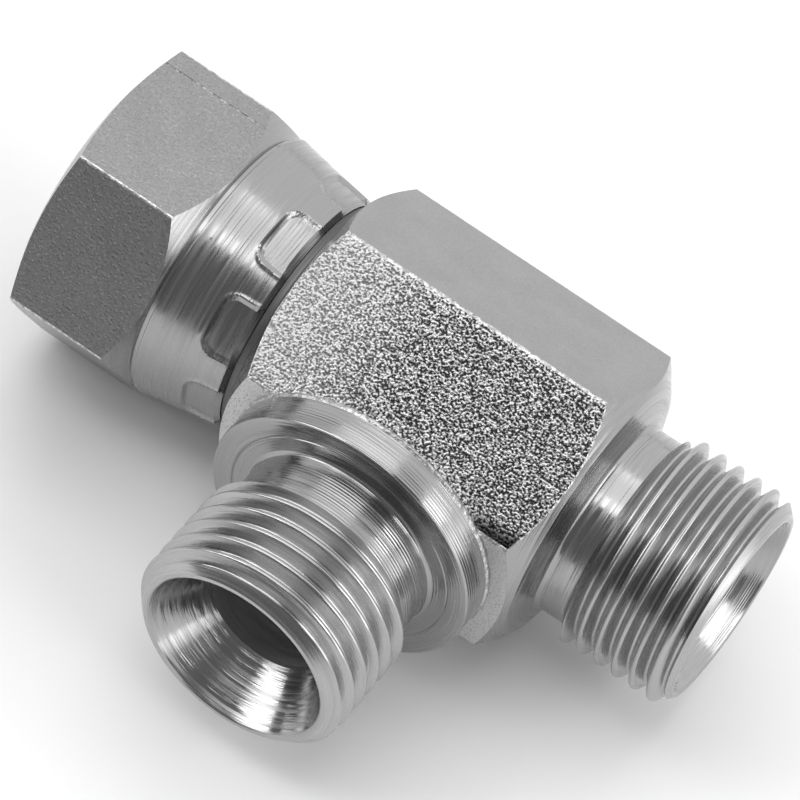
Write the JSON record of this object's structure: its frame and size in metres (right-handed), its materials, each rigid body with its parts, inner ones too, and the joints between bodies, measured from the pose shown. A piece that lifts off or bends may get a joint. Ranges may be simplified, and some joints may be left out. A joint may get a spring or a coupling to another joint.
{
  "type": "swivel tee",
  "caption": "Run tee for hydraulic lines: a six-sided block with a threaded run end, a threaded branch behind a turned collar, and a crimped swivel nut on the other run end.",
  "frame": {"origin": "the point where the run axis and the branch axis cross", "axes": "+X along the run toward its male end, with the swivel nut at -X; -Y along the branch toward its end; +Z toward one ridge of the six-sided block"},
  "size_m": [0.0668, 0.047, 0.03],
  "materials": {
    "body_steel": "bright zinc plating over forged and turned steel",
    "nut_steel": "bright zinc plating over turned steel, the skirt crimped"
  },
  "bodies": {
    "body": {"tee_body": "body_steel"},
    "nut": {"swivel_nut": "nut_steel"}
  },
  "joints": [
    {"name": "nut_swivel", "type": "hinge", "parent": "body", "child": "nut", "pos_m": [-0.026, 0, 0], "axis": [1, 0, 0], "continuous": true}
  ]
}
